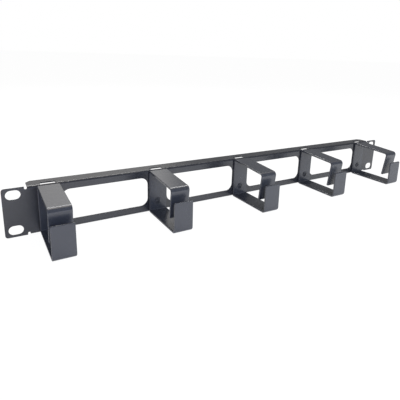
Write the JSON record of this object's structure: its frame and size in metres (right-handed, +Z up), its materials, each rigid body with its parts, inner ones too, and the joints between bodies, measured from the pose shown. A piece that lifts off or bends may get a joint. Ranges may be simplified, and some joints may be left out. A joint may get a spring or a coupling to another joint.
{
  "type": "horizontal cable manager",
  "caption": "Horizontal cable manager for a 19 inch rack: a folded steel panel with windows and a row of open folded rings that guide cables, black powder coat.",
  "frame": {"origin": "centre of the rack bolt pattern, on the rear face of the ears, which seats on the rack's rails", "axes": "+X to the right along the panel, +Y backwards into the rack, +Z up; the rings stand out along -Y"},
  "size_m": [0.4826, 0.0738, 0.044],
  "materials": {
    "panel_coat": "semi-gloss black powder coat",
    "ring_coat": "semi-gloss black powder coat",
    "rivet_coat": "semi-gloss black powder coat over the set rivet"
  },
  "bodies": {
    "root": {"panel": "panel_coat", "ring_1": "ring_coat", "ring_2": "ring_coat", "ring_3": "ring_coat", "ring_4": "ring_coat", "ring_5": "ring_coat", "rivet_1": "rivet_coat", "rivet_2": "rivet_coat", "rivet_3": "rivet_coat", "rivet_4": "rivet_coat", "rivet_5": "rivet_coat"}
  },
  "joints": []
}
